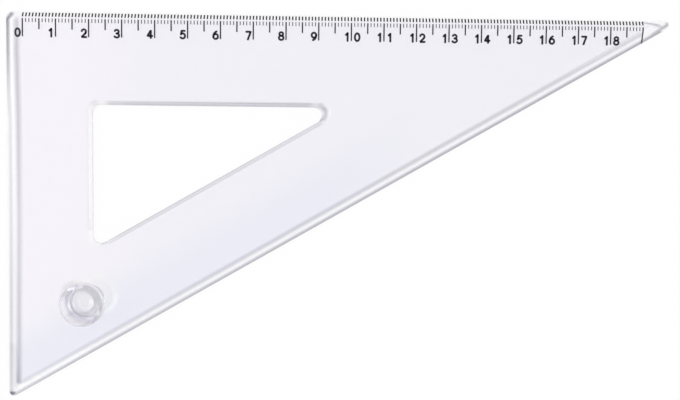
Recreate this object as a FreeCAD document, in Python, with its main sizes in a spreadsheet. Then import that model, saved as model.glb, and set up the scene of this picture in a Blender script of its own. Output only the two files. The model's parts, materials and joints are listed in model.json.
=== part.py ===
import FreeCAD, Part

import math
import os

import Sketcher

# A clear plastic set square with angles of 30, 60 and 90 degrees, lying flat with its scale up.
#
# The sheet frame, in which every body is drawn, has its origin at the sharp 60 degree corner on
# the underside. X runs along the graduated long leg, Y up the short leg and Z through the
# thickness. PLATE_X and PLATE_Y then centre the rounded outline on the world origin.
#
# Each entry of SIZES is a driving dimension in millimetres, degrees or a plain count.
SIZES = (
    ("long_leg", 207.6, "graduated leg, between the theoretical sharp corners"),
    ("tip_angle", 30.0, "angle at the pointed end, in degrees"),
    ("square_corner_radius", 2.2, "rounding of the square corner, seen from above"),
    ("corner_radius", 1.5, "rounding of the two sharp corners, seen from above"),
    ("plate_thickness", 2.2, "thickness of the flat middle of the plate"),
    ("edge_thickness", 1.2, "thickness left at the outer edges, below the bevels"),
    ("graduated_bevel", 1.95, "width of the bevel along the scale"),
    ("plain_bevel", 3.1, "width of the bevels along the short leg and the hypotenuse"),
    ("graduated_ridge", 1.0, "rounding of the ridge between the scale's bevel and the flat middle"),
    ("plain_ridge", 3.0, "rounding of the ridges of the two plain bevels"),
    ("window_from_left", 25.15, "short leg to the upper rim of the cut-out"),
    ("window_from_top", 27.25, "long leg to the upper rim of the cut-out"),
    ("window_leg", 81.0, "long side of the upper rim, between its sharp corners"),
    ("window_radius", 2.5, "rounding of the cut-out's corners"),
    ("window_slope_width", 0.8, "how far the sloped rim runs inwards"),
    ("window_slope_depth", 1.2, "how far the sloped rim runs down"),
    ("zero_from_left", 5.3, "short leg to the zero mark"),
    ("centimetre_step", 10.0, "one centimetre of the scale"),
    ("centimetre_count", 19, "centimetres on the scale"),
    ("bevel_line", 0.44, "width of every line on the bevel"),
    ("face_line", 0.42, "width of the longer lines on the flat face"),
    ("fine_face_line", 0.25, "width of a millimetre line on the flat face"),
    ("print_margin", 0.4, "bare strip between the edge and the print"),
    ("bare_ridge", 0.55, "strip over the ridge that the print leaves bare"),
    ("millimetre_length", 3.4, "edge to the inner end of a millimetre mark"),
    ("half_centimetre_length", 5.5, "edge to the inner end of a half centimetre mark"),
    ("centimetre_length", 7.7, "edge to the inner end of a centimetre mark"),
    ("ink_thickness", 0.05, "height of the printed layer"),
    ("knob_from_left", 25.4, "short leg to the axis of the knob"),
    ("knob_from_top", 88.2, "long leg to the axis of the knob"),
    ("knob_height", 9.8, "knob above the face of the plate"),
    ("head_diameter", 13.2, "widest part of the knob"),
    ("neck_diameter", 9.4, "narrowest part of the knob, at the plate"),
    ("stem_diameter", 6.0, "stem of the knob, inside the plate"),
    ("stem_recess", 0.2, "underside of the plate to the end of the stem"),
    ("bore_clearance", 0.05, "gap round the stem, filled by cement"),
    ("rim_height", 1.8, "cylindrical band round the head of the knob"),
    ("rim_width", 1.1, "flat ring round the finger dish"),
    ("dish_depth", 0.9, "depth of the finger dish in the head"),
    ("rim_rounding", 0.5, "rounding of the head's upper and lower edge"),
)

# Sizes that follow from the driving ones, as expressions that the document keeps.
SHORT_LEG = "Sizes.long_leg * tan(Sizes.tip_angle)"
TIP_SPREAD = "(1 / tan(Sizes.tip_angle / 2))"
STEEP_SPREAD = "(1 / tan((90 - Sizes.tip_angle) / 2))"
TIP_CUT = f"Sizes.corner_radius * ({TIP_SPREAD} - 1)"
STEEP_CUT = f"Sizes.corner_radius * ({STEEP_SPREAD} - 1)"
PLATE_X = f"-(Sizes.long_leg - {TIP_CUT}) / 2"
PLATE_Y = f"-({SHORT_LEG} + {STEEP_CUT}) / 2"
CUT_REACH = "4 * Sizes.long_leg"
STEPS_PER_CENTIMETRE = 10

# How close counts as touching.
TOUCHING = 1e-6

doc = FreeCAD.newDocument("set_square")
sheet = doc.addObject("Spreadsheet::Sheet", "Sizes")
for row, (alias, value, meaning) in enumerate(SIZES, start=1):
    sheet.set(f"A{row}", meaning)
    sheet.set(f"B{row}", str(value))
    sheet.setAlias(f"B{row}", alias)
doc.recompute()


def number(expression):
    """The present value of an expression on the sheet."""
    return float(sheet.evalExpression(expression))


def new_body(name, x=PLATE_X, y=PLATE_Y):
    """A body whose own origin lies at the world position given by two expressions."""
    body = doc.addObject("PartDesign::Body", name)
    body.Label = name
    body.setExpression("Placement.Base.x", x)
    body.setExpression("Placement.Base.y", y)
    return body


def new_sketch(body, name, role, height=None):
    """A sketch on one of the body's origin planes, raised by an expression if one is given."""
    sketch = body.newObject("Sketcher::SketchObject", name)
    plane = [item for item in body.Origin.OriginFeatures if item.Role == role][0]
    sketch.AttachmentSupport = [(plane, "")]
    sketch.MapMode = "FlatFace"
    if height:
        sketch.setExpression("AttachmentOffset.Base.z", height)
    return sketch


def dimension(sketch, name, kind, where, expression):
    """A named dimension whose value stays bound to an expression."""
    index = sketch.addConstraint(Sketcher.Constraint(kind, *where, number(expression)))
    sketch.renameConstraint(index, name)
    sketch.setExpression(f"Constraints.{name}", expression)


def place_point(sketch, name, geometry, end, x, y):
    """Holds one point of the sketch at (x, y), where "0" puts it on the sketch's own axis."""
    for axis, kind, value, line in (("x", "DistanceX", x, -2), ("y", "DistanceY", y, -1)):
        if value == "0":
            sketch.addConstraint(Sketcher.Constraint("PointOnObject", geometry, end, line))
        else:
            dimension(sketch, f"{name}_{axis}", kind, (-1, 1, geometry, end), value)


def draw_polygon(sketch, corners):
    """A closed outline of straight lines through corners, each one (name, x, y)."""
    points = [FreeCAD.Vector(number(x), number(y), 0) for _, x, y in corners]
    lines = [
        sketch.addGeometry(Part.LineSegment(start, end))
        for start, end in zip(points, points[1:] + points[:1])
    ]
    for line, following in zip(lines, lines[1:] + lines[:1]):
        sketch.addConstraint(Sketcher.Constraint("Coincident", line, 2, following, 1))
    for line, (name, x, y) in zip(lines, corners):
        place_point(sketch, name, line, 1, x, y)


def draw_circle(sketch, x, y, diameter):
    """A circle with its centre at (x, y)."""
    centre = FreeCAD.Vector(number(x), number(y), 0)
    circle = sketch.addGeometry(
        Part.Circle(centre, FreeCAD.Vector(0, 0, 1), number(diameter) / 2)
    )
    place_point(sketch, "centre", circle, 3, x, y)
    dimension(sketch, "diameter", "Diameter", (circle,), diameter)


def draw_rounded_triangle(sketch, left, top, leg, radii):
    """The outline of a 90 degree triangle with round corners.

    left and top place its sharp square corner, leg is its long side between sharp corners, and
    radii belong to the square corner, the 60 degree corner and the tip. The outline is the belt
    round three circles: each straight side is tangent to two of them.
    """
    square, steep, tip = radii
    slant = math.radians(number("Sizes.tip_angle"))
    above = FreeCAD.Vector(0, 1, 0)
    beside = FreeCAD.Vector(-1, 0, 0)
    below = FreeCAD.Vector(math.sin(slant), -math.cos(slant), 0)  # square to the hypotenuse
    corners = (
        ("square", square, f"{left} + {square}", f"{top} - {square}", above, beside),
        (
            "steep",
            steep,
            f"{left} + {steep}",
            f"{top} - ({leg}) * tan(Sizes.tip_angle) + {steep} * {STEEP_SPREAD}",
            beside,
            below,
        ),
        (
            "tip",
            tip,
            f"{left} + {leg} - {tip} * {TIP_SPREAD}",
            f"{top} - {tip}",
            below,
            above,
        ),
    )
    arcs = []
    for _, radius, x, y, before, after in corners:
        centre = FreeCAD.Vector(number(x), number(y), 0)
        halfway = (before + after).normalize()
        through = [centre + way * number(radius) for way in (before, halfway, after)]
        arc = Part.Arc(*through)
        arcs.append((sketch.addGeometry(arc), arc))
    lines = []
    for (_, arc), (_, following) in zip(arcs, arcs[1:] + arcs[:1]):
        lines.append(sketch.addGeometry(Part.LineSegment(arc.EndPoint, following.StartPoint)))
    for position, line in enumerate(lines):
        arc = arcs[position][0]
        following = arcs[(position + 1) % len(arcs)][0]
        sketch.addConstraint(Sketcher.Constraint("Tangent", arc, 2, line, 1))
        sketch.addConstraint(Sketcher.Constraint("Tangent", line, 2, following, 1))
    for (name, radius, x, y, _, _), (arc, _) in zip(corners, arcs):
        place_point(sketch, f"{name}_centre", arc, 3, x, y)
        dimension(sketch, f"{name}_radius", "Radius", (arc,), radius)


def pad(body, name, sketch, height):
    """Raises a sketch into a solid."""
    feature = body.newObject("PartDesign::Pad", name)
    feature.Profile = sketch
    feature.setExpression("Length", height)
    doc.recompute()
    return feature


def pocket(body, name, sketch, depth, both_ways=False, upwards=False):
    """Cuts a sketch out of the body, and makes sure that it removed something."""
    before = body.Shape.Volume
    feature = body.newObject("PartDesign::Pocket", name)
    feature.Profile = sketch
    feature.Midplane = both_ways
    feature.Reversed = upwards
    feature.setExpression("Length", depth)
    doc.recompute()
    if body.Shape.Volume >= before:
        raise RuntimeError(f"{name} cuts nothing")
    return feature


def bevel(body, name, turn, edge_y, width):
    """Planes one outer edge down to the edge thickness with a wedge along its whole length.

    The profile stands on the YZ plane, turned about Z so that its own X points from the edge into
    the plate. The wedge starts a little above the plate and ends a little outside it. The
    attachment only gets its axis of rotation here, and two expressions set how far it goes.
    """
    overrun = "Sizes.edge_thickness / 2"
    run_per_rise = f"({width} / (Sizes.plate_thickness - Sizes.edge_thickness))"
    sketch = new_sketch(body, f"{name}_profile", "YZ_Plane")
    upright_axis = FreeCAD.Vector(0, 1, 0)
    sketch.AttachmentOffset = FreeCAD.Placement(FreeCAD.Vector(), FreeCAD.Rotation(upright_axis, 0))
    sketch.setExpression("AttachmentOffset.Base.x", edge_y)
    sketch.setExpression("AttachmentOffset.Rotation.Angle", turn)
    top = f"Sizes.plate_thickness + {overrun}"
    corners = (
        ("outer", f"-{overrun} * {run_per_rise}", f"Sizes.edge_thickness - {overrun}"),
        ("inner", f"{width} + {overrun} * {run_per_rise}", top),
        ("above", f"-{overrun} * {run_per_rise}", top),
    )
    draw_polygon(sketch, corners)
    return pocket(body, name, sketch, CUT_REACH, both_ways=True)


def round_ridges(body, name, base, radius, by_scale):
    """Rounds the straight upper edge beside the scale, or those of the two plain bevels."""
    top = number("Sizes.plate_thickness")
    ridge_y = number(f"{SHORT_LEG} - Sizes.graduated_bevel")
    ridges = []
    for index, edge in enumerate(base.Shape.Edges, start=1):
        is_upper = all(abs(vertex.Z - top) < TOUCHING for vertex in edge.Vertexes)
        is_by_scale = all(abs(vertex.Y - ridge_y) < TOUCHING for vertex in edge.Vertexes)
        if is_upper and is_by_scale == by_scale:
            ridges.append(f"Edge{index}")
    rounding = body.newObject("PartDesign::Fillet", name)
    rounding.Base = (base, ridges)
    rounding.setExpression("Radius", radius)
    doc.recompute()
    return rounding


def make_plate():
    """The blade: rounded triangle, three bevels, the cut-out with its rim, and the knob's bore."""
    body = new_body("plate")
    outline = new_sketch(body, "outline", "XY_Plane")
    radii = ("Sizes.square_corner_radius", "Sizes.corner_radius", "Sizes.corner_radius")
    draw_rounded_triangle(outline, "0", SHORT_LEG, "Sizes.long_leg", radii)
    pad(body, "blank", outline, "Sizes.plate_thickness")
    bevel(body, "graduated_edge", "180", SHORT_LEG, "Sizes.graduated_bevel")
    bevel(body, "short_edge", "-90", "0", "Sizes.plain_bevel")
    planed = bevel(body, "hypotenuse_edge", "Sizes.tip_angle", "0", "Sizes.plain_bevel")

    eased = round_ridges(body, "plain_ridges", planed, "Sizes.plain_ridge", by_scale=False)
    round_ridges(body, "graduated_ridge", eased, "Sizes.graduated_ridge", by_scale=True)

    left = "Sizes.window_from_left"
    upper = f"{SHORT_LEG} - Sizes.window_from_top"
    leg = "Sizes.window_leg"
    slope = "Sizes.window_slope_width"
    shelf = "Sizes.plate_thickness - Sizes.window_slope_depth"
    radii = ("Sizes.window_radius",) * len(radii)
    rim = new_sketch(body, "window_upper_rim", "XY_Plane", "Sizes.plate_thickness")
    draw_rounded_triangle(rim, left, upper, leg, radii)
    throat = new_sketch(body, "window_throat", "XY_Plane", shelf)
    draw_rounded_triangle(
        throat,
        f"{left} + {slope}",
        f"{upper} - {slope}",
        f"{leg} - {slope} * (1 + {TIP_SPREAD})",
        radii,
    )
    doc.recompute()
    before = body.Shape.Volume
    sloped_rim = body.newObject("PartDesign::SubtractiveLoft", "window_sloped_rim")
    sloped_rim.Profile = rim
    sloped_rim.Sections = [throat]
    sloped_rim.Ruled = True
    doc.recompute()
    if body.Shape.Volume >= before:
        raise RuntimeError("the sloped rim cuts nothing")
    pocket(body, "window_wall", throat, shelf)

    bore = new_sketch(body, "knob_bore", "XY_Plane")
    draw_circle(
        bore,
        "Sizes.knob_from_left",
        f"{SHORT_LEG} - Sizes.knob_from_top",
        "Sizes.stem_diameter + 2 * Sizes.bore_clearance",
    )
    pocket(body, "knob_seat", bore, "Sizes.plate_thickness", upwards=True)
    return body


def make_knob():
    """The lifting knob: a flared head on a neck that sits on the plate, its stem in the bore.

    Its half profile turns about Z. The flare is an arc that starts upright at the neck and ends
    at the band of the head, so its radius follows from how far it spreads and how far it climbs.
    """
    x = f"{PLATE_X} + Sizes.knob_from_left"
    y = f"{PLATE_Y} + {SHORT_LEG} - Sizes.knob_from_top"
    body = new_body("lifting_knob", x, y)
    sketch = new_sketch(body, "half_profile", "XZ_Plane")
    stem = "Sizes.stem_diameter / 2"
    neck = "Sizes.neck_diameter / 2"
    head = "Sizes.head_diameter / 2"
    top = "Sizes.plate_thickness + Sizes.knob_height"
    spread = f"({head} - {neck})"
    climb = "(Sizes.knob_height - Sizes.rim_height)"
    flare = f"({spread} ^ 2 + {climb} ^ 2) / (2 * {spread})"
    corners = (
        ("band_low", head, f"{top} - Sizes.rim_height"),
        ("band_high", head, top),
        ("axis_high", "0", top),
        ("axis_low", "0", "Sizes.stem_recess"),
        ("stem_low", stem, "Sizes.stem_recess"),
        ("stem_high", stem, "Sizes.plate_thickness"),
        ("neck", neck, "Sizes.plate_thickness"),
    )
    points = [FreeCAD.Vector(number(x), number(y), 0) for _, x, y in corners]
    for start, end in zip(points, points[1:]):
        sketch.addGeometry(Part.LineSegment(start, end))
    centre = points[-1] + FreeCAD.Vector(number(flare), 0, 0)
    circle = Part.Circle(centre, FreeCAD.Vector(0, 0, 1), number(flare))
    climb_angle = math.asin(number(climb) / number(flare))
    arc = sketch.addGeometry(Part.ArcOfCircle(circle, math.pi - climb_angle, math.pi))
    for line in range(1, arc):
        sketch.addConstraint(Sketcher.Constraint("Coincident", line - 1, 2, line, 1))
    sketch.addConstraint(Sketcher.Constraint("Coincident", arc, 1, 0, 1))
    sketch.addConstraint(Sketcher.Constraint("Coincident", arc - 1, 2, arc, 2))
    for line, (name, x, y) in enumerate(corners[:-1]):
        place_point(sketch, name, line, 1, x, y)
    name, x, y = corners[-1]
    place_point(sketch, name, arc, 2, x, y)
    dimension(sketch, "flare_radius", "Radius", (arc,), flare)

    turned = body.newObject("PartDesign::Revolution", "turned")
    turned.Profile = sketch
    turned.ReferenceAxis = (sketch, ["V_Axis"])
    doc.recompute()

    rim_edges = [
        f"Edge{index}"
        for index, edge in enumerate(turned.Shape.Edges, start=1)
        if isinstance(edge.Curve, Part.Circle) and abs(edge.Curve.Radius - number(head)) < TOUCHING
    ]
    rounding = body.newObject("PartDesign::Fillet", "soft_rim")
    rounding.Base = (turned, rim_edges)
    rounding.setExpression("Radius", "Sizes.rim_rounding")
    doc.recompute()

    # The finger dish is the cap of a large ball that dips into the top of the head.
    before = body.Shape.Volume
    dish = body.newObject("PartDesign::SubtractiveSphere", "finger_dish")
    ball = f"(({head} - Sizes.rim_width) ^ 2 + Sizes.dish_depth ^ 2) / (2 * Sizes.dish_depth)"
    dish.setExpression("Radius", ball)
    dish.setExpression("Placement.Base.z", f"{top} - Sizes.dish_depth + {ball}")
    doc.recompute()
    if body.Shape.Volume >= before:
        raise RuntimeError("the finger dish cuts nothing")
    return body


def make_ink_layer(plate):
    """The thin layer over every upward face of the plate, from which each mark is a strip.

    It is the plate lifted by the thickness of the ink, less the plate itself, so that it lies on
    the flat face and on the bevel alike.
    """
    lifted = doc.addObject("Part::Compound", "lifted_plate")
    lifted.Links = [plate]
    lifted.setExpression("Placement.Base.z", "Sizes.ink_thickness")
    layer = doc.addObject("Part::Cut", "ink_layer")
    layer.Base = lifted
    layer.Tool = plate
    doc.recompute()
    return layer


def make_marks(name, ink_layer, length, face_line, first_steps, step, repeats):
    """One kind of mark: a comb of upright strips, patterned along the scale, cut from the ink.

    The foil misses the ridge, so each mark is a strip on the bevel and a strip on the flat face.
    first_steps places the marks of the first group, in tenths of a centimetre from zero.
    """
    ridge = f"({SHORT_LEG} - Sizes.graduated_bevel)"
    rows = (
        ("face", face_line, f"{SHORT_LEG} - {length}", f"{ridge} - Sizes.bare_ridge / 2"),
        (
            "bevel",
            "Sizes.bevel_line",
            f"{ridge} + Sizes.bare_ridge / 2",
            f"{SHORT_LEG} - Sizes.print_margin",
        ),
    )
    comb = new_body(f"{name}_comb")
    sketch = new_sketch(comb, f"{name}_group", "XY_Plane", "Sizes.edge_thickness / 2")
    for order in first_steps:
        middle = f"Sizes.zero_from_left + {order} * Sizes.centimetre_step / {STEPS_PER_CENTIMETRE}"
        for row, line, inner, outer in rows:
            left = f"{middle} - {line} / 2"
            right = f"{middle} + {line} / 2"
            corners = (
                (f"{row}_{order}_inner_left", left, inner),
                (f"{row}_{order}_inner_right", right, inner),
                (f"{row}_{order}_outer_right", right, outer),
                (f"{row}_{order}_outer_left", left, outer),
            )
            draw_polygon(sketch, corners)
    group = pad(comb, f"{name}_strips", sketch, "Sizes.plate_thickness")
    pattern = comb.newObject("PartDesign::LinearPattern", f"{name}_pattern")
    pattern.Originals = [group]
    pattern.Direction = (sketch, ["H_Axis"])
    pattern.Mode = "Spacing"
    pattern.setExpression("Offset", step)
    pattern.setExpression("Occurrences", repeats)
    comb.Tip = pattern
    doc.recompute()

    marks = doc.addObject("Part::Common", name)
    marks.Label = name
    marks.Base = comb
    marks.Tool = ink_layer
    doc.recompute()
    return marks


plate = make_plate()
knob = make_knob()
ink = make_ink_layer(plate)
half_step = "Sizes.centimetre_step / 2"
whole_step = "Sizes.centimetre_step"
count = "Sizes.centimetre_count"
kinds_of_mark = (
    ("millimetre", "Sizes.fine_face_line", (1, 2, 3, 4), half_step, f"2 * {count}"),
    ("half_centimetre", "Sizes.face_line", (5,), whole_step, count),
    ("centimetre", "Sizes.face_line", (0,), whole_step, f"{count} + 1"),
)
sub_parts = [plate, knob]
for kind, face_line, first_steps, step, repeats in kinds_of_mark:
    length = f"Sizes.{kind}_length"
    marks = make_marks(f"{kind}_marks", ink, length, face_line, first_steps, step, repeats)
    sub_parts.append(marks)

for item in doc.Objects:
    if "Invalid" in item.State or "Error" in item.State:
        raise RuntimeError(f"{item.Label} failed: {item.State}")
os.makedirs("parts", exist_ok=True)
for part in sub_parts:
    if part.Shape.isNull() or not part.Shape.isValid():
        raise RuntimeError(f"{part.Label} has no valid shape")
for part in sub_parts:
    part.Shape.exportStep(f"parts/{part.Label}.step")
    box = part.Shape.optimalBoundingBox(False)
    print(
        f"{part.Label}: {len(part.Shape.Solids)} solids, {len(part.Shape.Faces)} faces, "
        f"{part.Shape.Volume:.2f} mm3, x {box.XMin:.2f} to {box.XMax:.2f}, "
        f"y {box.YMin:.2f} to {box.YMax:.2f}, z {box.ZMin:.2f} to {box.ZMax:.2f}"
    )
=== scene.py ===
# %% [markdown]
# # A clear set square with a lifting knob
#
# The set square is one moulded blade of clear polystyrene, a clear knob to lift it by, and a
# black printed scale. The solids come from a CAD model, at their real size and in their real
# place. This notebook gives them their finish, turns a finer knob and prints the figures.
#
# Everything is in metres. X runs along the scale towards the pointed end, Y from the 60 degree
# corner to the scale, and Z up out of the printed face. The underside lies at Z = 0.

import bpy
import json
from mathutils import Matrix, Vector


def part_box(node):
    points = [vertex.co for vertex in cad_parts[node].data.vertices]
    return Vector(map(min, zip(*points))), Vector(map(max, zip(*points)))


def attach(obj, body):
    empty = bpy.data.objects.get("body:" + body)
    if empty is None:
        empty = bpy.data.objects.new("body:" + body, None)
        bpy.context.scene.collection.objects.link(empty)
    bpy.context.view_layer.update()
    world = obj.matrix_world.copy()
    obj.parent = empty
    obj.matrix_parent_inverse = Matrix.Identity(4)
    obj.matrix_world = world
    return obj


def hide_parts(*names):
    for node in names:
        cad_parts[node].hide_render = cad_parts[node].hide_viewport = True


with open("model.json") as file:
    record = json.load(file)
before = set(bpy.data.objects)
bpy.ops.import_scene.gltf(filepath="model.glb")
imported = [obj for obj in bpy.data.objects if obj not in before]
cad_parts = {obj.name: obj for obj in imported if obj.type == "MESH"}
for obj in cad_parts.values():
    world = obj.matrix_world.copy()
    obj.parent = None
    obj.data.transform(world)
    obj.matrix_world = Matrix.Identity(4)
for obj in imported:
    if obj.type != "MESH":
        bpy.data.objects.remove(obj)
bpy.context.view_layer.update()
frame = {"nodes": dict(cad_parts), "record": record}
print("solid parts:", ", ".join(sorted(frame["nodes"])))

# %% Tools, and the millimetre
import json
import math
from collections import namedtuple

import bpy
import numpy as np
from mathutils import Matrix, Vector

MM = 0.001
scene = bpy.context.scene
scene.view_settings.view_transform = "Standard"

# %% [markdown]
# ## The camera
#
# The camera hangs a little over a quarter of a metre above the blade and looks almost straight
# down, so the knob leans outwards and the edges show a sliver of their walls. Building the camera
# from a place, an aim and a small roll keeps those three things readable. The three axes of the
# view are the columns of its rotation.

# %% Hang the camera over the blade
CAMERA_AT = Vector((-4.90, 16.49, 259.37)) * MM
CAMERA_AIM = Vector((0.69, 2.72, 0.0)) * MM
CAMERA_ROLL = math.radians(0.66)
CAMERA_LENS = 44.06

back = (CAMERA_AT - CAMERA_AIM).normalized()
right = Vector((0.0, 1.0, 0.0)).cross(back).normalized()
unrolled = Matrix((right, back.cross(right), back)).transposed()
turn = Matrix.Rotation(CAMERA_ROLL, 3, back) @ unrolled
camera_data = bpy.data.cameras.new("camera")
camera_data.lens = CAMERA_LENS
camera = bpy.data.objects.new("camera", camera_data)
camera.matrix_world = Matrix.Translation(CAMERA_AT) @ turn.to_4x4()
scene.collection.objects.link(camera)
scene.camera = camera
print("camera height", round(CAMERA_AT.z / MM), "mm, lens", CAMERA_LENS, "mm")

# %% [markdown]
# ## Wiring shaders
#
# Every finish below is a small network of shader nodes. A few helpers keep the networks short:
# one adds a node and connects what it reads, and most of the others stand for one node each.

# %% Helpers for numbers and vectors
def add_node(tree, kind, inputs=(), **options):
    """Adds a node. inputs maps an input's name or number to a value, or to a socket to link."""
    node = tree.nodes.new(kind)
    for name, option in options.items():
        setattr(node, name, option)
    for key, value in dict(inputs).items():
        if isinstance(value, bpy.types.NodeSocket):
            tree.links.new(value, node.inputs[key])
        else:
            node.inputs[key].default_value = value
    return node


def maths(tree, operation, *values):
    """The result of one Math node, whose inputs are numbers or sockets."""
    return add_node(tree, "ShaderNodeMath", dict(enumerate(values)), operation=operation).outputs[0]


def vector_maths(tree, operation, output, *values):
    """One output of a Vector Math node, whose inputs are vectors or sockets."""
    node = add_node(tree, "ShaderNodeVectorMath", dict(enumerate(values)), operation=operation)
    return node.outputs[output]


def along_axis(tree, vector, axis):
    """How far a vector reaches along an axis: vector . axis."""
    return vector_maths(tree, "DOT_PRODUCT", "Value", vector, tuple(axis))


def distance_from(tree, place, centre):
    """How far a point lies from a fixed one."""
    return vector_maths(tree, "DISTANCE", "Value", place, tuple(centre))


def on_the_table(tree, place):
    """The point straight below, at the height of the table: (x, y, 0)."""
    return vector_maths(tree, "MULTIPLY", "Vector", place, (1.0, 1.0, 0.0))


def scaled(tree, vector, factor):
    """A vector or colour times a number."""
    inputs = {0: vector, "Scale": factor}
    return add_node(tree, "ShaderNodeVectorMath", inputs, operation="SCALE").outputs["Vector"]


def fade(tree, value, low, high, at_low, at_high):
    """Runs smoothly from at_low, where value is low, to at_high, where it is high."""
    inputs = {"Value": value, "From Min": low, "From Max": high, "To Min": at_low, "To Max": at_high}
    node = add_node(tree, "ShaderNodeMapRange", inputs, interpolation_type="SMOOTHSTEP")
    return node.outputs["Result"]


# A Mix node keeps its own two inputs and output for each type of data, told apart by number.
MixSockets = namedtuple("MixSockets", "first second result")
MIX_SOCKETS = {"RGBA": MixSockets(6, 7, 2), "VECTOR": MixSockets(4, 5, 1)}


def mix(tree, data_type, share, first, second):
    """The first colour or vector where share is 0, the second where it is 1."""
    sockets = MIX_SOCKETS[data_type]
    inputs = {0: share, sockets.first: first, sockets.second: second}
    node = add_node(tree, "ShaderNodeMix", inputs, data_type=data_type)
    return node.outputs[sockets.result]


def new_material(name):
    """A material with nothing but an output, and that output."""
    material = bpy.data.materials.new(name)
    material.use_nodes = True
    material.node_tree.nodes.clear()
    return material, add_node(material.node_tree, "ShaderNodeOutputMaterial")


print("types of data that can be mixed:", ", ".join(MIX_SOCKETS))

# %% [markdown]
# No real surface is the same all over. Smooth noise makes two kinds of unevenness: patches, where
# a value such as the roughness drifts between two levels, and shallow waves in the surface, which
# a bump adds to the way it mirrors. Both depend only on the place on the part.

# %% Helpers for uneven surfaces
# Patches: their size and detail, the stretch of the noise that counts, and the value's two ends.
Patches = namedtuple("Patches", "size detail noise_from noise_to low high")
Waves = namedtuple("Waves", "length depth")
WAVE_DETAIL = 2.0


def mottle(tree, place, size, detail):
    """Smooth noise from 0 to 1 in patches of about the given size."""
    inputs = {"Vector": place, "Scale": 1.0 / size, "Detail": detail}
    return add_node(tree, "ShaderNodeTexNoise", inputs).outputs["Fac"]


def patchy(tree, place, patches):
    """A value that drifts smoothly between its two ends, in patches."""
    noise = mottle(tree, place, patches.size, patches.detail)
    return fade(tree, noise, patches.noise_from, patches.noise_to, patches.low, patches.high)


def ripple(tree, place, waves):
    """The normal of a surface with very shallow waves."""
    height = mottle(tree, place, waves.length, WAVE_DETAIL)
    inputs = {"Strength": 1.0, "Distance": waves.depth, "Height": height}
    return add_node(tree, "ShaderNodeBump", inputs).outputs["Normal"]


print("detail of the waves:", WAVE_DETAIL)

# %% [markdown]
# ## The table
#
# Clear plastic shows what lies behind it and what it mirrors, so the stage matters as much as the
# material. The table is plain white. It sends an even white to the eye, also through the plastic,
# and a small share of it is diffuse paint, which takes the soft shadow of the plate.

# %% Lay the table
TABLE_GAP = 0.1 * MM
TABLE_HALF = 3.0
PAINT_SHARE = 0.05
PAINT_WHITE = 0.92

corners = [(-TABLE_HALF, -TABLE_HALF), (TABLE_HALF, -TABLE_HALF)]
corners += [(TABLE_HALF, TABLE_HALF), (-TABLE_HALF, TABLE_HALF)]
table_mesh = bpy.data.meshes.new("table")
table_mesh.from_pydata([(x, y, -TABLE_GAP) for x, y in corners], [], [(0, 1, 2, 3)])
table = bpy.data.objects.new("table", table_mesh)
scene.collection.objects.link(table)


def white_to_the_eye(tree):
    """1 for a ray from the camera, off a mirror or through glass, and 0 for any other light."""
    seen = add_node(tree, "ShaderNodeLightPath").outputs
    direct = maths(tree, "MAXIMUM", seen["Is Camera Ray"], seen["Is Glossy Ray"])
    return maths(tree, "MAXIMUM", direct, seen["Is Transmission Ray"])


def table_paint():
    """White that glows evenly to the eye, over a share of diffuse paint that takes shadows."""
    material, output = new_material("table_paint")
    tree = material.node_tree
    paint = add_node(tree, "ShaderNodeBsdfDiffuse", {"Color": (PAINT_WHITE,) * 3 + (1.0,)})
    glow = add_node(tree, "ShaderNodeEmission", {"Strength": 1.0})
    share = maths(tree, "MULTIPLY", white_to_the_eye(tree), 1.0 - PAINT_SHARE)
    mixed = add_node(tree, "ShaderNodeMixShader", {0: share, 1: paint.outputs[0], 2: glow.outputs[0]})
    tree.links.new(mixed.outputs[0], output.inputs["Surface"])
    return material


table.data.materials.append(table_paint())
print("table side", 2 * TABLE_HALF, "m")

# %% [markdown]
# ## The light
#
# The room is bright at the sides and a little dimmer overhead, with a lavender cast, as on a
# bench with a lamp on each side. The flat face mirrors the ceiling, which is lighter towards the
# short leg, and the bevels mirror the bright sides and look white. The room itself is white where
# the camera sees it directly.

# %% Light the room
WALLS = (1.0, 1.0, 1.0, 1.0)
CEILING = (0.76, 0.72, 0.95, 1.0)
WALL_TOP = 0.55
CEILING_EDGE = 0.92
CEILING_DRIFT = 0.45

world = bpy.data.worlds.new("room")
world.use_nodes = True
world.node_tree.nodes.clear()
scene.world = world
room = world.node_tree
direction = add_node(room, "ShaderNodeTexCoord").outputs["Generated"]
parts = add_node(room, "ShaderNodeSeparateXYZ", {0: direction}).outputs
overhead = fade(room, parts["Z"], WALL_TOP, CEILING_EDGE, 0.0, 1.0)
drift = maths(room, "MULTIPLY", maths(room, "MULTIPLY", parts["X"], -CEILING_DRIFT), overhead)
eye = add_node(room, "ShaderNodeLightPath").outputs["Is Camera Ray"]
seen_share = maths(room, "MULTIPLY", overhead, maths(room, "SUBTRACT", 1.0, eye))
level = maths(room, "MAXIMUM", maths(room, "ADD", drift, 1.0), eye)
colour = mix(room, "RGBA", seen_share, WALLS, CEILING)
background = add_node(room, "ShaderNodeBackground", {"Color": colour, "Strength": level})
add_node(room, "ShaderNodeOutputWorld", {"Surface": background.outputs[0]})
print("the walls end where the Z of a direction is", WALL_TOP)

# %% Hang the lamps
LAMP_SIZE = 0.8
LAMP_WATTS = 2.4
LAMP_PLACES = {"left_lamp": (-0.9, 0.1, 0.75), "right_lamp": (0.9, 0.1, 0.75)}
for name, place in LAMP_PLACES.items():
    lamp_data = bpy.data.lights.new(name, "AREA")
    lamp_data.size = LAMP_SIZE
    lamp_data.energy = LAMP_WATTS
    lamp = bpy.data.objects.new(name, lamp_data)
    lamp.location = place
    lamp.rotation_euler = (-Vector(place)).to_track_quat("-Z", "Y").to_euler()
    scene.collection.objects.link(lamp)
print("lamps:", ", ".join(LAMP_PLACES))

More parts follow.
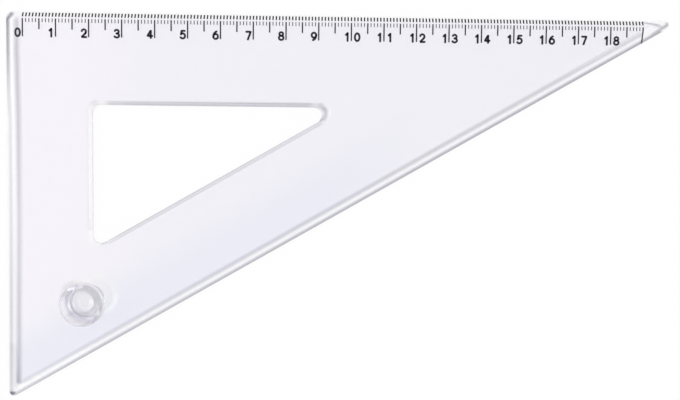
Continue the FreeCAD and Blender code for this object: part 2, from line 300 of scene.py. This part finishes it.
# %% [markdown]
# ## Measuring from the edges
#
# The bevels and the flat face differ in tint, so the finish needs to know how far each point of
# the plate lies from the outer edges. The record of the part gives a point and an outward
# direction for each edge.

# %% The sides of the outline
Side = namedtuple("Side", "outward reach")
OUTLINE = {}
for mount in frame["record"]["mounts"]:
    if mount["name"].endswith("_edge"):
        outward = Vector(mount["axis"])
        OUTLINE[mount["name"]] = Side(outward, outward.dot(Vector(mount["pos_m"])))

# The bevel along each edge: how wide it is, and how its ridge is rounded.
Bevel = namedtuple("Bevel", "width rounding")
BEVELS = {
    "graduated_edge": Bevel(1.95 * MM, 1.0 * MM),
    "short_edge": Bevel(3.1 * MM, 3.0 * MM),
    "hypotenuse_edge": Bevel(3.1 * MM, 3.0 * MM),
}


def edge_distance(tree, place, side):
    """How far inside a side a point lies: reach - outward . point."""
    return maths(tree, "SUBTRACT", side.reach, along_axis(tree, place, side.outward))


def bevels_crossed(tree, place):
    """0 at the outer edge, 1 at the ridge of the nearest bevel, and more on the flat face."""
    crossed = [
        maths(tree, "DIVIDE", edge_distance(tree, place, OUTLINE[name]), bevel.width)
        for name, bevel in BEVELS.items()
    ]
    return maths(tree, "MINIMUM", maths(tree, "MINIMUM", *crossed[:2]), crossed[2])


print("edges:", ", ".join(OUTLINE))

# %% [markdown]
# ## Grey lines of painted shade
#
# A transparent plate on a white table is drawn by its edges. The rim of each bevel, the ridge
# where the bevel meets the flat face, the corners and the rim of the cut-out trap light and read
# as soft grey lines. These lines are painted shade, darkness painted into the colour of the
# plate. Each one is a pen line through a few points, and its darkness changes evenly from point
# to point. Beside the head of the knob, a fainter arc is a painted shadow, the edge of the
# knob's soft shadow.

# %% Where the lines run
# half_width is how far from its middle a line has faded out. Its points are (x, y, darkness).
# Lengths are in millimetres, and darkness runs from 0 to 1.
PaintedShadeLine = namedtuple("PaintedShadeLine", "half_width points")
# The lines along the outer edges and corners are painted shade, darkening the plate's colour.
EDGE_LINES = {
    "short edge, rim": PaintedShadeLine(
        1.25,
        (
            (-101.3, 57.0, 0.7),
            (-101.3, 47.5, 0.6),
            (-101.15, 35.4, 0.31),
            (-100.7, 26.3, 0.22),
            (-100.7, -4.4, 0.26),
            (-100.9, -35.5, 0.36),
            (-101.1, -58.3, 0.28),
        ),
    ),
    "short edge, bevel": PaintedShadeLine(
        1.7, ((-99.5, 24.0, 0.0), (-99.7, -4.4, 0.08), (-99.9, -23.0, 0.13), (-100.0, -56.0, 0.14))
    ),
    "short edge, ridge": PaintedShadeLine(
        1.4,
        (
            (-98.6, 56.5, 0.32),
            (-98.6, 47.5, 0.38),
            (-98.2, 26.3, 0.32),
            (-98.2, -4.4, 0.25),
            (-98.6, -35.4, 0.36),
            (-98.7, -49.8, 0.38),
            (-98.8, -54.8, 0.5),
        ),
    ),
    "hypotenuse, rim": PaintedShadeLine(
        1.15, ((-99.9, -58.9, 0.38), (-82.0, -48.6, 0.45), (-61.0, -36.5, 0.43), (99.2, 56.0, 0.53))
    ),
    "hypotenuse, ridge": PaintedShadeLine(
        1.15, ((-97.5, -54.9, 0.18), (-43.5, -23.7, 0.26), (30.7, 19.2, 0.29), (93.0, 55.1, 0.28))
    ),
    "square corner": PaintedShadeLine(1.15, ((-101.5, 56.2, 0.75), (-101.1, 57.3, 0.75), (-100.1, 58.3, 0.7))),
    "60 degree corner": PaintedShadeLine(1.1, ((-101.3, -58.6, 0.85), (-100.6, -58.6, 0.85))),
    "tip": PaintedShadeLine(0.9, ((97.0, 55.2, 0.45), (101.5, 58.3, 0.5))),
    "above the tip": PaintedShadeLine(0.6, ((93.5, 58.6, 0.3), (95.7, 58.3, 0.45), (100.1, 57.6, 0.4))),
}
# The lines round the cut-out are painted shade too.
CUT_OUT_LINES = {
    "top": PaintedShadeLine(
        1.05,
        (
            (-74.0, 31.7, 0.04),
            (-72.0, 31.7, 0.12),
            (-70.3, 31.8, 0.4),
            (-62.5, 31.8, 0.5),
            (-9.5, 32.0, 0.5),
            (-7.1, 31.9, 0.25),
        ),
    ),
    "left": PaintedShadeLine(1.5, ((-76.3, 30.2, 0.07), (-76.4, -6.5, 0.09))),
    "hypotenuse": PaintedShadeLine(1.4, ((-70.6, -10.6, 0.2), (-66.9, -8.4, 0.35), (-5.8, 26.65, 0.27))),
    "pointed end": PaintedShadeLine(
        1.35,
        (
            (-6.8, 31.9, 0.2),
            (-5.5, 31.9, 0.3),
            (-4.7, 31.2, 0.38),
            (-4.0, 30.2, 0.4),
            (-4.0, 29.0, 0.42),
            (-4.7, 27.9, 0.4),
            (-5.8, 27.1, 0.32),
        ),
    ),
    "square corner": PaintedShadeLine(
        1.1, ((-76.4, 25.0, 0.07), (-76.1, 30.8, 0.14), (-75.3, 31.8, 0.18), (-74.0, 32.1, 0.1))
    ),
    "60 degree corner": PaintedShadeLine(0.9, ((-72.6, -11.2, 0.4), (-71.6, -11.0, 0.4))),
}
# A painted shadow: a faint grey arc on the plate at the edge of the knob's soft shadow.
KNOB_PAINTED_SHADOW = {
    "beside the head": PaintedShadeLine(
        1.7,
        (
            (-85.4, -30.5, 0.06),
            (-85.1, -27.8, 0.13),
            (-84.0, -25.2, 0.15),
            (-82.0, -24.0, 0.13),
            (-79.8, -23.8, 0.05),
        ),
    ),
}
print("grey lines:", len(EDGE_LINES) + len(CUT_OUT_LINES) + len(KNOB_PAINTED_SHADOW))

# %% [markdown]
# A shader can't be drawn on with a pen, but it can work out how far each point lies from a
# straight span. A line of painted shade is a chain of such spans, and it is darkest in the middle
# and fades out smoothly to both sides.

# %% Darkness of the lines
def span_darkness(tree, place, half_width, start, end):
    """Painted shade of one straight span of a line.

    With t = (point - start) . (end - start) / |end - start|^2, held between 0 and 1, the point
    is |point - start - t (end - start)| away from the span, and the darkness of the span there
    is the one at its start plus t times the change to its end.
    """
    along = (Vector(end[:2]) - Vector(start[:2])).to_3d() * MM
    begin = Vector(start[:2]).to_3d() * MM
    from_start = vector_maths(tree, "SUBTRACT", "Vector", place, tuple(begin))
    per_length = tuple(along / along.length_squared)
    share = along_axis(tree, from_start, per_length)
    held = add_node(tree, "ShaderNodeClamp", {"Value": share}).outputs[0]
    away = vector_maths(tree, "DISTANCE", "Value", from_start, scaled(tree, tuple(along), held))
    strength = maths(tree, "MULTIPLY_ADD", held, end[2] - start[2], start[2])
    return maths(tree, "MULTIPLY", fade(tree, away, 0.0, half_width * MM, 1.0, 0.0), strength)


def lines_darkness(tree, place, lines):
    """Painted shade of all the lines together: where they cross, that of the darkest."""
    darkness = 0.0
    for shade_line in lines:
        for start, end in zip(shade_line.points, shade_line.points[1:]):
            span = span_darkness(tree, place, shade_line.half_width, start, end)
            darkness = maths(tree, "MAXIMUM", darkness, span)
    return darkness


PAINTED_SHADE_LINES = [*EDGE_LINES.values(), *CUT_OUT_LINES.values(), *KNOB_PAINTED_SHADOW.values()]
print("spans:", sum(len(shade_line.points) - 1 for shade_line in PAINTED_SHADE_LINES))

# %% [markdown]
# ## Clear polystyrene
#
# The blade is moulded from clear polystyrene, whose refractive index of 1.59 makes its edges
# sparkle. A Principled shader that transmits nearly all light bends and mirrors it as the plastic
# does. The few per cent that it scatters are the slight haze of moulded plastic, and they keep the
# edges grey where light is trapped inside for longer than a render follows it.
#
# The colour carries the faint lavender cast of the resin on the flat face. The thinner bevels are
# painted clear white, painted light that matches the bright sides they mirror. Painted light
# makes the cast palest beside the short edge, and painted shade makes it deepest near the lower
# half of the hypotenuse. The colour also carries the painted shade of the grey lines.

# %% Tint of the resin
# The painted light is full up to PALE_FROM along X and gone past PALE_TO. The painted shade is
# full within DEEP_WITHIN of the hypotenuse and up to DEEP_UP_TO along X, and gone past DEEP_TO of
# the hypotenuse or DEEP_END along X.
# The white of the bevels is painted light. The pale and the deep tints are painted light and painted
# shade.
BEVEL_PAINTED_LIGHT = (1.0, 1.0, 1.0, 1.0)
RESIN_TINT = (0.941, 0.935, 0.958, 1.0)
PAINTED_LIGHT_TINT = (0.972, 0.962, 0.976, 1.0)
PAINTED_SHADE_TINT = (0.891, 0.897, 0.952, 1.0)
PALE_FROM = -85 * MM
PALE_TO = -50 * MM
DEEP_WITHIN = 8 * MM
DEEP_TO = 22 * MM
DEEP_UP_TO = -10 * MM
DEEP_END = 35 * MM


def resin_tint(tree, place):
    """The cast of the resin, with painted light beside the short edge and painted shade near the lower
    half of the hypotenuse.
    """
    x = along_axis(tree, place, (1.0, 0.0, 0.0))
    painted_light = fade(tree, x, PALE_FROM, PALE_TO, 1.0, 0.0)
    near = edge_distance(tree, place, OUTLINE["hypotenuse_edge"])
    near = fade(tree, near, DEEP_WITHIN, DEEP_TO, 1.0, 0.0)
    painted_shade = maths(tree, "MULTIPLY", near, fade(tree, x, DEEP_UP_TO, DEEP_END, 1.0, 0.0))
    cast = mix(tree, "RGBA", painted_light, RESIN_TINT, PAINTED_LIGHT_TINT)
    return mix(tree, "RGBA", painted_shade, cast, PAINTED_SHADE_TINT)


print("tint of the resin:", RESIN_TINT[:3])

# %% [markdown]
# Light that enters an upright wall of the cut-out runs on inside the plate, mirrored again and
# again, until it leaves at an outer edge and meets the bright room. A render gives up long before
# that and draws the wall black. So these walls shade as if they faced up, and show the table.
# Handling leaves a few patches of the blade less glossy, and the mould leaves very shallow waves.

# %% Finish of the blade
POLYSTYRENE_INDEX = 1.59
BLADE_CLARITY = 0.93
# Where the finish of a bevel starts to give way to that of the flat face, and where it has, as
# shares of the bevel's width.
FLAT_FROM = 0.65
FLAT_TO = 1.05
LINE_SHADE = (1.0, 1.0, 0.93)
UPRIGHT_BELOW = 0.1
UPWARDS = (0.0, 0.0, 1.0)
BLADE_GLOSS = Patches(size=12 * MM, detail=5.0, noise_from=0.35, noise_to=0.7, low=0.01, high=0.05)
BLADE_WAVES = Waves(length=15 * MM, depth=0.01 * MM)


def blade_colour(tree, below, flatness):
    """The cast of the resin, with its painted light and shade, darkened by the painted shade of the
    grey lines: tint * (1 - shade).
    """
    # The white bevels and the uneven cast are painted light and shade.
    tint = mix(tree, "RGBA", flatness, BEVEL_PAINTED_LIGHT, resin_tint(tree, below))
    # The grey lines are painted shade, taken out of the colour.
    shade = scaled(tree, LINE_SHADE, lines_darkness(tree, below, PAINTED_SHADE_LINES))
    passed = vector_maths(tree, "SUBTRACT", "Vector", (1.0,) * 3, shade)
    return vector_maths(tree, "MULTIPLY", "Vector", tint, passed)


def blade_normal(tree, place, flatness):
    """Shallow waves, but straight up on the upright walls of the cut-out."""
    facing = add_node(tree, "ShaderNodeNewGeometry").outputs["True Normal"]
    facing_up = maths(tree, "ABSOLUTE", along_axis(tree, facing, UPWARDS))
    upright = maths(tree, "MULTIPLY", maths(tree, "LESS_THAN", facing_up, UPRIGHT_BELOW), flatness)
    return mix(tree, "VECTOR", upright, ripple(tree, place, BLADE_WAVES), UPWARDS)


def blade_finish():
    """Clear polystyrene with the grey lines of painted shade along the bevels and the cut-out."""
    material, output = new_material("clear_blade")
    tree = material.node_tree
    place = add_node(tree, "ShaderNodeTexCoord").outputs["Object"]
    below = on_the_table(tree, place)
    flatness = fade(tree, bevels_crossed(tree, below), FLAT_FROM, FLAT_TO, 0.0, 1.0)
    glass = add_node(
        tree,
        "ShaderNodeBsdfPrincipled",
        {
            "Base Color": blade_colour(tree, below, flatness),
            "Transmission Weight": BLADE_CLARITY,
            "IOR": POLYSTYRENE_INDEX,
            "Roughness": patchy(tree, place, BLADE_GLOSS),
            "Normal": blade_normal(tree, place, flatness),
        },
    )
    tree.links.new(glass.outputs[0], output.inputs["Surface"])
    return material


def dress(node, material):
    """Gives one of the solid parts its finish."""
    slots = frame["nodes"][node].data.materials
    slots.clear()
    slots.append(material)
    print(node, "is finished in", material.name)


dress("plate", blade_finish())

# %% [markdown]
# ## The lifting knob
#
# The knob is turned: a stem that stands in the plate, a shoulder, a neck that flares to a round
# head, and a shallow dish for the fingertip. In clear plastic the facets of a solid would show,
# so a finer surface of the same shape takes its place. A film of cement, a few hundredths of a
# millimetre thick, parts its shoulder from the plate.

# %% Profile of the knob
def arc(centre, radii, start, end, steps=25):
    """A piece of an ellipse: centre + radii * (cos t, sin t), t from start to end in degrees."""
    t = np.radians(np.linspace(start, end, steps))
    return np.array(centre) + np.array(radii) * np.stack([np.cos(t), np.sin(t)], axis=1)


NECK_RADIUS = 4.7 * MM
STEM_RADIUS = 3.0 * MM
BAND_HEIGHT = 1.8 * MM
RIM_ROUNDING = 0.5 * MM
RIM_WIDTH = 1.1 * MM
RIM_STEPS = 9
DISH_DEPTH = 0.9 * MM
CEMENT_FILM = 0.03 * MM
SHOULDER_ROUNDING = 0.1 * MM
SHOULDER_STEPS = 5

knob_low, knob_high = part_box("lifting_knob")
knob_axis = (knob_low + knob_high) / 2
head_radius = (knob_high.x - knob_low.x) / 2
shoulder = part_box("plate")[1].z + CEMENT_FILM


def knob_profile():
    """Half profile of the knob as (radius, height), from the stem's end round to the dish.

    The flare is an arc that starts upright at the neck. Spreading by s while it climbs by c, it
    has the radius (s^2 + c^2) / 2s. It leaves out its first point, on which the shoulder ends.
    The dish is an arc of a ball, whose radius is found in the same way.
    """
    spread = head_radius - NECK_RADIUS
    climb = knob_high.z - BAND_HEIGHT - shoulder
    flare = (spread**2 + climb**2) / (2 * spread)
    climbed = math.degrees(math.asin(climb / flare))
    dish_radius = head_radius - RIM_WIDTH
    ball = (dish_radius**2 + DISH_DEPTH**2) / (2 * DISH_DEPTH)
    opening = math.degrees(math.asin(dish_radius / ball))
    dish_centre = (0.0, knob_high.z - DISH_DEPTH + ball)
    foot = (NECK_RADIUS - SHOULDER_ROUNDING, shoulder + SHOULDER_ROUNDING)
    top = (head_radius - RIM_ROUNDING, knob_high.z - RIM_ROUNDING)
    return np.vstack(
        [
            [(0.0, knob_low.z), (STEM_RADIUS, knob_low.z), (STEM_RADIUS, shoulder)],
            arc(foot, (SHOULDER_ROUNDING,) * 2, -90, 0, SHOULDER_STEPS),
            arc((NECK_RADIUS + flare, shoulder), (flare,) * 2, 180, 180 - climbed)[1:],
            arc(top, (RIM_ROUNDING,) * 2, 0, 90, RIM_STEPS),
            arc(dish_centre, (ball,) * 2, -90 + opening, -90),
        ]
    )


print("points in the profile:", len(knob_profile()))

# %% [markdown]
# A lathe turns a profile into a solid, and so does the next function: it sets copies of the
# profile around the axis and joins neighbours by faces. The shading is smooth except across
# sharp edges, such as the one between the stem and the shoulder.

# %% Turn the profile
TURNING_STEPS = 128
SHARP_ANGLE = math.radians(35)


def turned_mesh(name, profile, steps):
    """A closed mesh made by turning a half profile about the knob's axis.

    Ring k holds (r_k cos t, r_k sin t, z_k) at steps angles t. The first and the last point lie
    on the axis, so each is one vertex with a fan of triangles.
    """
    t = np.linspace(0.0, 2 * math.pi, steps, endpoint=False)
    circle = np.stack([np.cos(t), np.sin(t)], axis=1)
    rings = profile[1:-1]
    flat = rings[:, None, :1] * circle
    heights = np.broadcast_to(rings[:, None, 1:], (len(rings), steps, 1))
    vertices = np.concatenate([flat, heights], axis=2).reshape(-1, 3)
    poles = np.array([(0.0, 0.0, profile[0][1]), (0.0, 0.0, profile[-1][1])])
    vertices = np.vstack([vertices, poles]) + (knob_axis.x, knob_axis.y, 0.0)

    here = np.arange(steps)
    following = (here + 1) % steps
    starts = steps * np.arange(len(rings) - 1)[:, None]
    quads = [starts + here, starts + following, starts + steps + following, starts + steps + here]
    quads = np.stack(quads, axis=2).reshape(-1, 4)
    bottom_pole = len(vertices) - 2
    last = steps * (len(rings) - 1)
    bottom = np.stack([following, here, np.full(steps, bottom_pole)], axis=1)
    top = np.stack([last + here, last + following, np.full(steps, bottom_pole + 1)], axis=1)
    mesh = bpy.data.meshes.new(name)
    mesh.from_pydata(vertices.tolist(), [], quads.tolist() + bottom.tolist() + top.tolist())
    mesh.shade_smooth()
    mesh.set_sharp_from_angle(angle=SHARP_ANGLE)
    return mesh


knob = bpy.data.objects.new("turned_knob", turned_mesh("turned_knob", knob_profile(), TURNING_STEPS))
scene.collection.objects.link(knob)
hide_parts("lifting_knob")
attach(knob, "root")
print("the knob has", len(knob.data.polygons), "faces")

# %% [markdown]
# The knob is cemented on, and the joint is not quite as clear as the plastic: through the head it
# reads as a faint grey disc, a little darker where the stem ends. A spot near its middle is left
# clear as a painted highlight, and a darker crescent on the side of the pointed end is painted
# shade. The knob is rougher than the blade, because fingers have dulled its polish.

# %% Finish of the knob
KNOB_TINT = (1.0, 0.995, 1.0)
KNOB_CLARITY = 0.95
JOINT_DARKNESS = 0.14
STEM_DARKNESS = 0.26
STEM_FADES_FROM = 0.8 * STEM_RADIUS
# The clear spot is a painted highlight, and the crescent is painted shade.
PAINTED_HIGHLIGHT_SPOT = Vector((1.8, 0.2, 0.0)) * MM
PAINTED_HIGHLIGHT_RADIUS = 1.7 * MM
SHADE_CRESCENT_FROM = 3.3 * MM
SHADE_CRESCENT_TO = 4.3 * MM
SHADE_CRESCENT_OFFSET = Vector((-1.1, 0.2, 0.0)) * MM
SHADE_CRESCENT_DARKNESS = 0.5
KNOB_GLOSS = Patches(size=4 * MM, detail=2.0, noise_from=0.3, noise_to=0.7, low=0.125, high=0.145)
KNOB_WAVES = Waves(length=5 * MM, depth=0.02 * MM)


def joint_darkness(tree, place):
    """Grey of the joint and painted light on the cemented faces, from the shoulder down.

    It is the darker of the joint's disc, left clear around a spot as a painted highlight, and a
    crescent of painted shade. The crescent is what lies outside a circle whose centre is set to one
    side.
    """
    height = along_axis(tree, place, UPWARDS)
    cemented = maths(tree, "LESS_THAN", height, shoulder + SHOULDER_ROUNDING / 2)
    below = on_the_table(tree, place)
    centre = Vector((knob_axis.x, knob_axis.y, 0.0))
    away = distance_from(tree, below, centre)
    disc = fade(tree, away, STEM_FADES_FROM, STEM_RADIUS, STEM_DARKNESS, JOINT_DARKNESS)
    # A spot is left clear of the grey: a painted highlight.
    away = distance_from(tree, below, centre + PAINTED_HIGHLIGHT_SPOT)
    disc = maths(tree, "MULTIPLY", disc, fade(tree, away, 0.0, PAINTED_HIGHLIGHT_RADIUS, 0.0, 1.0))
    # The crescent is painted shade on the side of the pointed end.
    away = distance_from(tree, below, centre + SHADE_CRESCENT_OFFSET)
    shade_crescent = fade(tree, away, SHADE_CRESCENT_FROM, SHADE_CRESCENT_TO, 0.0, SHADE_CRESCENT_DARKNESS)
    return maths(tree, "MULTIPLY", maths(tree, "MAXIMUM", disc, shade_crescent), cemented)


def knob_finish():
    """Clear polystyrene, softened by handling, with the grey of the joint underneath, a painted
    highlight and a crescent of painted shade.
    """
    material, output = new_material("clear_knob")
    tree = material.node_tree
    place = add_node(tree, "ShaderNodeTexCoord").outputs["Object"]
    clear = maths(tree, "SUBTRACT", 1.0, joint_darkness(tree, place))
    glass = add_node(
        tree,
        "ShaderNodeBsdfPrincipled",
        {
            "Base Color": scaled(tree, KNOB_TINT, clear),
            "Transmission Weight": KNOB_CLARITY,
            "IOR": POLYSTYRENE_INDEX,
            "Roughness": patchy(tree, place, KNOB_GLOSS),
            "Normal": ripple(tree, place, KNOB_WAVES),
        },
    )
    tree.links.new(glass.outputs[0], output.inputs["Surface"])
    return material


knob.data.materials.append(knob_finish())
print("the knob is finished in", knob.data.materials[0].name)

# %% [markdown]
# ## Printing ink
#
# The scale is printed in black. Printed ink is thin: it is a little grey where the coat is thin
# and has a slight grain.

# %% Finish of the print
INK = (0.006, 0.006, 0.01, 1.0)
THIN_INK = (0.03, 0.03, 0.04, 1.0)
INK_THINNESS = Patches(size=0.6 * MM, detail=4.0, noise_from=0.5, noise_to=0.8, low=0.0, high=1.0)
INK_GLOSS = Patches(size=0.3 * MM, detail=2.0, noise_from=0.3, noise_to=0.7, low=0.35, high=0.6)
INK_GRAIN = Waves(length=0.2 * MM, depth=0.004 * MM)


def ink_finish():
    """Black ink whose coat is thinner in small patches."""
    material, output = new_material("black_print")
    tree = material.node_tree
    place = add_node(tree, "ShaderNodeTexCoord").outputs["Object"]
    thinness = patchy(tree, place, INK_THINNESS)
    ink = add_node(
        tree,
        "ShaderNodeBsdfPrincipled",
        {
            "Base Color": mix(tree, "RGBA", thinness, INK, THIN_INK),
            "Roughness": patchy(tree, place, INK_GLOSS),
            "Normal": ripple(tree, place, INK_GRAIN),
        },
    )
    tree.links.new(ink.outputs[0], output.inputs["Surface"])
    return material


ink_material = ink_finish()
for marks in ("millimetre_marks", "half_centimetre_marks", "centimetre_marks"):
    dress(marks, ink_material)

# %% [markdown]
# ## The figures of the scale
#
# The scale is numbered from 0 to 18. A font would do, but drawing the figures with a pen keeps
# the weight of every stroke the same, as on an engraved ruler. Each figure is a few strokes of a
# round-nosed pen, and each stroke is a line or a piece of an ellipse in a unit box, x to the
# right and y up.

# %% Pen strokes for the ten figures
def line(*points):
    """A stroke through a few points, joined by straight lines."""
    return np.array(points, float)


SIX = (
    arc((0.5, 0.32), (0.5, 0.32), 90, 450),
    arc((0.98, 0.34), (0.95, 0.66), 108, 184),
)
FIGURES = {
    0: (arc((0.5, 0.5), (0.5, 0.5), 90, 450),),
    1: (line((0.62, 1.0), (0.62, 0.0)), line((0.62, 1.0), (0.26, 0.79))),
    2: (arc((0.5, 0.7), (0.46, 0.3), 165, -38), line((0.86, 0.51), (0.04, 0.0), (1.0, 0.0))),
    3: (arc((0.46, 0.75), (0.42, 0.25), 155, -90), arc((0.46, 0.26), (0.52, 0.26), 90, -150)),
    4: (line((0.7, 0.0), (0.7, 1.0), (0.0, 0.27), (1.0, 0.27)),),
    5: (line((0.9, 1.0), (0.24, 1.0), (0.13, 0.54)), arc((0.46, 0.33), (0.52, 0.33), 130, -145)),
    6: SIX,
    7: (line((0.04, 1.0), (0.98, 1.0), (0.38, 0.0)),),
    8: (arc((0.5, 0.77), (0.4, 0.23), -90, 270), arc((0.5, 0.27), (0.5, 0.27), 90, 450)),
    9: tuple(1.0 - stroke for stroke in SIX),
}
print("strokes in the figures:", {figure: len(strokes) for figure, strokes in FIGURES.items()})

# %% [markdown]
# A stroke becomes solid ink by carrying a flat rectangular profile along it. The profile is as
# wide as the pen, and narrows to a half circle over the last half width at each end. The ink lies
# on the plate, so each corner of the profile takes its height from the plate's upper face, which
# is flat in the middle and falls away over a rounded ridge on the bevels.

# %% Height of the plate's upper face
PLATE_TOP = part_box("plate")[1].z
EDGE_TOP = 1.2 * MM


def bevel_height(distance, bevel):
    """Height of one bevelled side at a distance from its edge.

    It is the lower of the bevel's slope and the flat face, with an arc of the bevel's rounding
    that touches both over the stretch around the ridge.
    """
    slope = math.atan((PLATE_TOP - EDGE_TOP) / bevel.width)
    reach = bevel.rounding * math.tan(slope / 2)
    arc_end = bevel.width + reach
    arc_start = bevel.width - reach * math.cos(slope)
    inside = np.clip(arc_end - distance, 0.0, arc_end - arc_start)
    rounded = PLATE_TOP - bevel.rounding + np.sqrt(bevel.rounding**2 - inside**2)
    sloped = EDGE_TOP + distance * math.tan(slope)
    return np.where(distance < arc_start, sloped, rounded)


def face_height(x, y):
    """Height of the plate's upper face: the lowest of its three bevelled sides."""
    heights = []
    for name, bevel in BEVELS.items():
        side = OUTLINE[name]
        heights.append(bevel_height(side.reach - side.outward.x * x - side.outward.y * y, bevel))
    return np.min(heights, axis=0)


print("height of the face at the middle", round(PLATE_TOP / MM, 2), "mm")

# %% Carry the pen along a stroke
PEN_WIDTH = 0.64 * MM
PEN_STEP = 0.12 * MM
FEWEST_STATIONS = 4
NOSE_STEPS = 5
NOSE_STARTS = 0.15


def pen_path(points):
    """The pen's stations along a stroke, half its width at each, and whether the stroke is closed.

    Stations are spaced evenly along the path. The half width is r, the radius of the pen, and
    sqrt(r^2 - (r - s)^2) where the end is nearer than r, at a distance s. An open stroke runs on
    straight by r at both ends, for its round nose. There the stations follow the circle, at
    s = r (1 - cos t) for even steps of t, and start a little way in, so that no face has no area.
    """
    radius = PEN_WIDTH / 2
    closed = np.allclose(points[0], points[-1])
    if not closed:
        ends = np.array([points[0] - points[1], points[-1] - points[-2]])
        ends *= radius / np.linalg.norm(ends, axis=1, keepdims=True)
        points = np.vstack([points[0] + ends[0], points, points[-1] + ends[1]])
    along = np.concatenate([[0.0], np.cumsum(np.linalg.norm(np.diff(points, axis=0), axis=1))])
    length = along[-1]
    stations = np.linspace(0.0, length, max(FEWEST_STATIONS, int(length / PEN_STEP)))
    half = np.full(len(stations), radius)
    if not closed:
        nose = radius * (1 - np.cos(np.linspace(NOSE_STARTS, math.pi / 2, NOSE_STEPS)))
        middle = stations[(stations > radius) & (stations < length - radius)]
        stations = np.concatenate([nose, middle, length - nose[::-1]])
        from_end = np.minimum(stations, length - stations)
        half = np.sqrt(radius**2 - np.clip(radius - from_end, 0.0, radius) ** 2)
    path = np.stack([np.interp(stations, along, points[:, axis]) for axis in (0, 1)], axis=1)
    return (path[:-1], half[:-1], closed) if closed else (path, half, closed)


SAMPLE_SIZE = 2 * MM
print("stations round a 0:", len(pen_path(FIGURES[0][0] * SAMPLE_SIZE)[0]))

# %% [markdown]
# The ink stands a little above the plate and reaches a little into it, so that it touches the
# plate everywhere. Neighbouring profiles are joined by four faces, one for each side. A closed
# stroke joins its last profile to its first, and an open one gets a face over each end.

# %% Solid ink along a stroke
INK_ABOVE = 0.05 * MM
INK_BELOW = 0.02 * MM
CORNERS = 4


def ink_faces(count, closed):
    """The faces between count profiles, whose corners are numbered around, profile by profile."""
    spans = count if closed else count - 1
    start = CORNERS * np.arange(spans)[:, None]
    corner = np.arange(CORNERS)[None, :]
    next_corner = (corner + 1) % CORNERS
    following = (start + CORNERS) % (CORNERS * count)
    sides = [start + corner, start + next_corner, following + next_corner, following + corner]
    faces = np.stack(sides, axis=2).reshape(-1, 4)
    if closed:
        return faces
    # The face over the first end runs the other way round, so that it points outwards too.
    around = np.arange(CORNERS)
    return np.vstack([faces, -around % CORNERS, CORNERS * (count - 1) + around])


def pen_stroke(points):
    """Vertices and faces of one stroke of ink along points, which are in metres.

    The left and right sides are path +- half * normal, where the normal is the direction of the
    path turned by a quarter. Each has a corner above the plate's face and one below it.
    """
    path, half, closed = pen_path(points)
    if closed:
        tangent = np.roll(path, -1, axis=0) - np.roll(path, 1, axis=0)
    else:
        tangent = np.gradient(path, axis=0)
    tangent /= np.linalg.norm(tangent, axis=1, keepdims=True)
    normal = np.stack([-tangent[:, 1], tangent[:, 0]], axis=1) * half[:, None]
    left, right = path + normal, path - normal
    sides = np.stack([left, right, right, left], axis=1)
    height = face_height(sides[..., 0], sides[..., 1])
    height += np.array([INK_ABOVE, INK_ABOVE, -INK_BELOW, -INK_BELOW])
    vertices = np.concatenate([sides, height[..., None]], axis=2).reshape(-1, 3)
    return vertices, ink_faces(len(path), closed)


ring = pen_stroke(FIGURES[0][0] * SAMPLE_SIZE)
print("a ring of the 0 has", len(ring[0]), "vertices and", len(ring[1]), "faces")

# %% [markdown]
# A single figure stands to the left of its centimetre mark. From 10 on, the mark runs between the
# two figures. The marks are already on the part, from 0 to 19, so the places of the figures are
# worked out from the box that the marks fill. The last mark has no number.

# %% Print the figures
FIGURE_WIDTH = 2.05 * MM
FIGURE_HEIGHT = 2.95 * MM
# How far the middle of each figure lies to the right of its mark, for one figure and for two.
BESIDE_MARK = {1: (-1.46 * MM,), 2: (-1.32 * MM, 1.79 * MM)}
BELOW_MARK = 0.3 * MM
LAST_MARK = 19
LAST_NUMBER = 18
LINE_WIDTH = 0.44 * MM

low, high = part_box("centimetre_marks")
marks_x = np.linspace(low.x + LINE_WIDTH / 2, high.x - LINE_WIDTH / 2, LAST_MARK + 1)
figure_foot = low.y - BELOW_MARK


def figure_strokes(figure, centre_x):
    """The strokes of one figure, in metres on the plate."""
    pen_box = np.array([FIGURE_WIDTH - PEN_WIDTH, FIGURE_HEIGHT - PEN_WIDTH])
    corner = np.array([centre_x, figure_foot + PEN_WIDTH / 2]) - (pen_box[0] / 2, 0.0)
    return [corner + stroke * pen_box for stroke in FIGURES[figure]]


strokes = []
for number in range(LAST_NUMBER + 1):
    digits = str(number)
    for digit, beside in zip(digits, BESIDE_MARK[len(digits)]):
        strokes += figure_strokes(int(digit), marks_x[number] + beside)

solids = [pen_stroke(stroke) for stroke in strokes]
offsets = np.cumsum([0] + [len(vertices) for vertices, _ in solids[:-1]])
figure_vertices = np.vstack([vertices for vertices, _ in solids])
figure_faces = np.vstack([faces + offset for (_, faces), offset in zip(solids, offsets)])
figure_mesh = bpy.data.meshes.new("scale_figures")
figure_mesh.from_pydata(figure_vertices.tolist(), [], figure_faces.tolist())
figures = bpy.data.objects.new("scale_figures", figure_mesh)
scene.collection.objects.link(figures)
figures.data.materials.append(ink_material)
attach(figures, "root")
print("numbers printed:", LAST_NUMBER + 1, "in", len(strokes), "strokes")
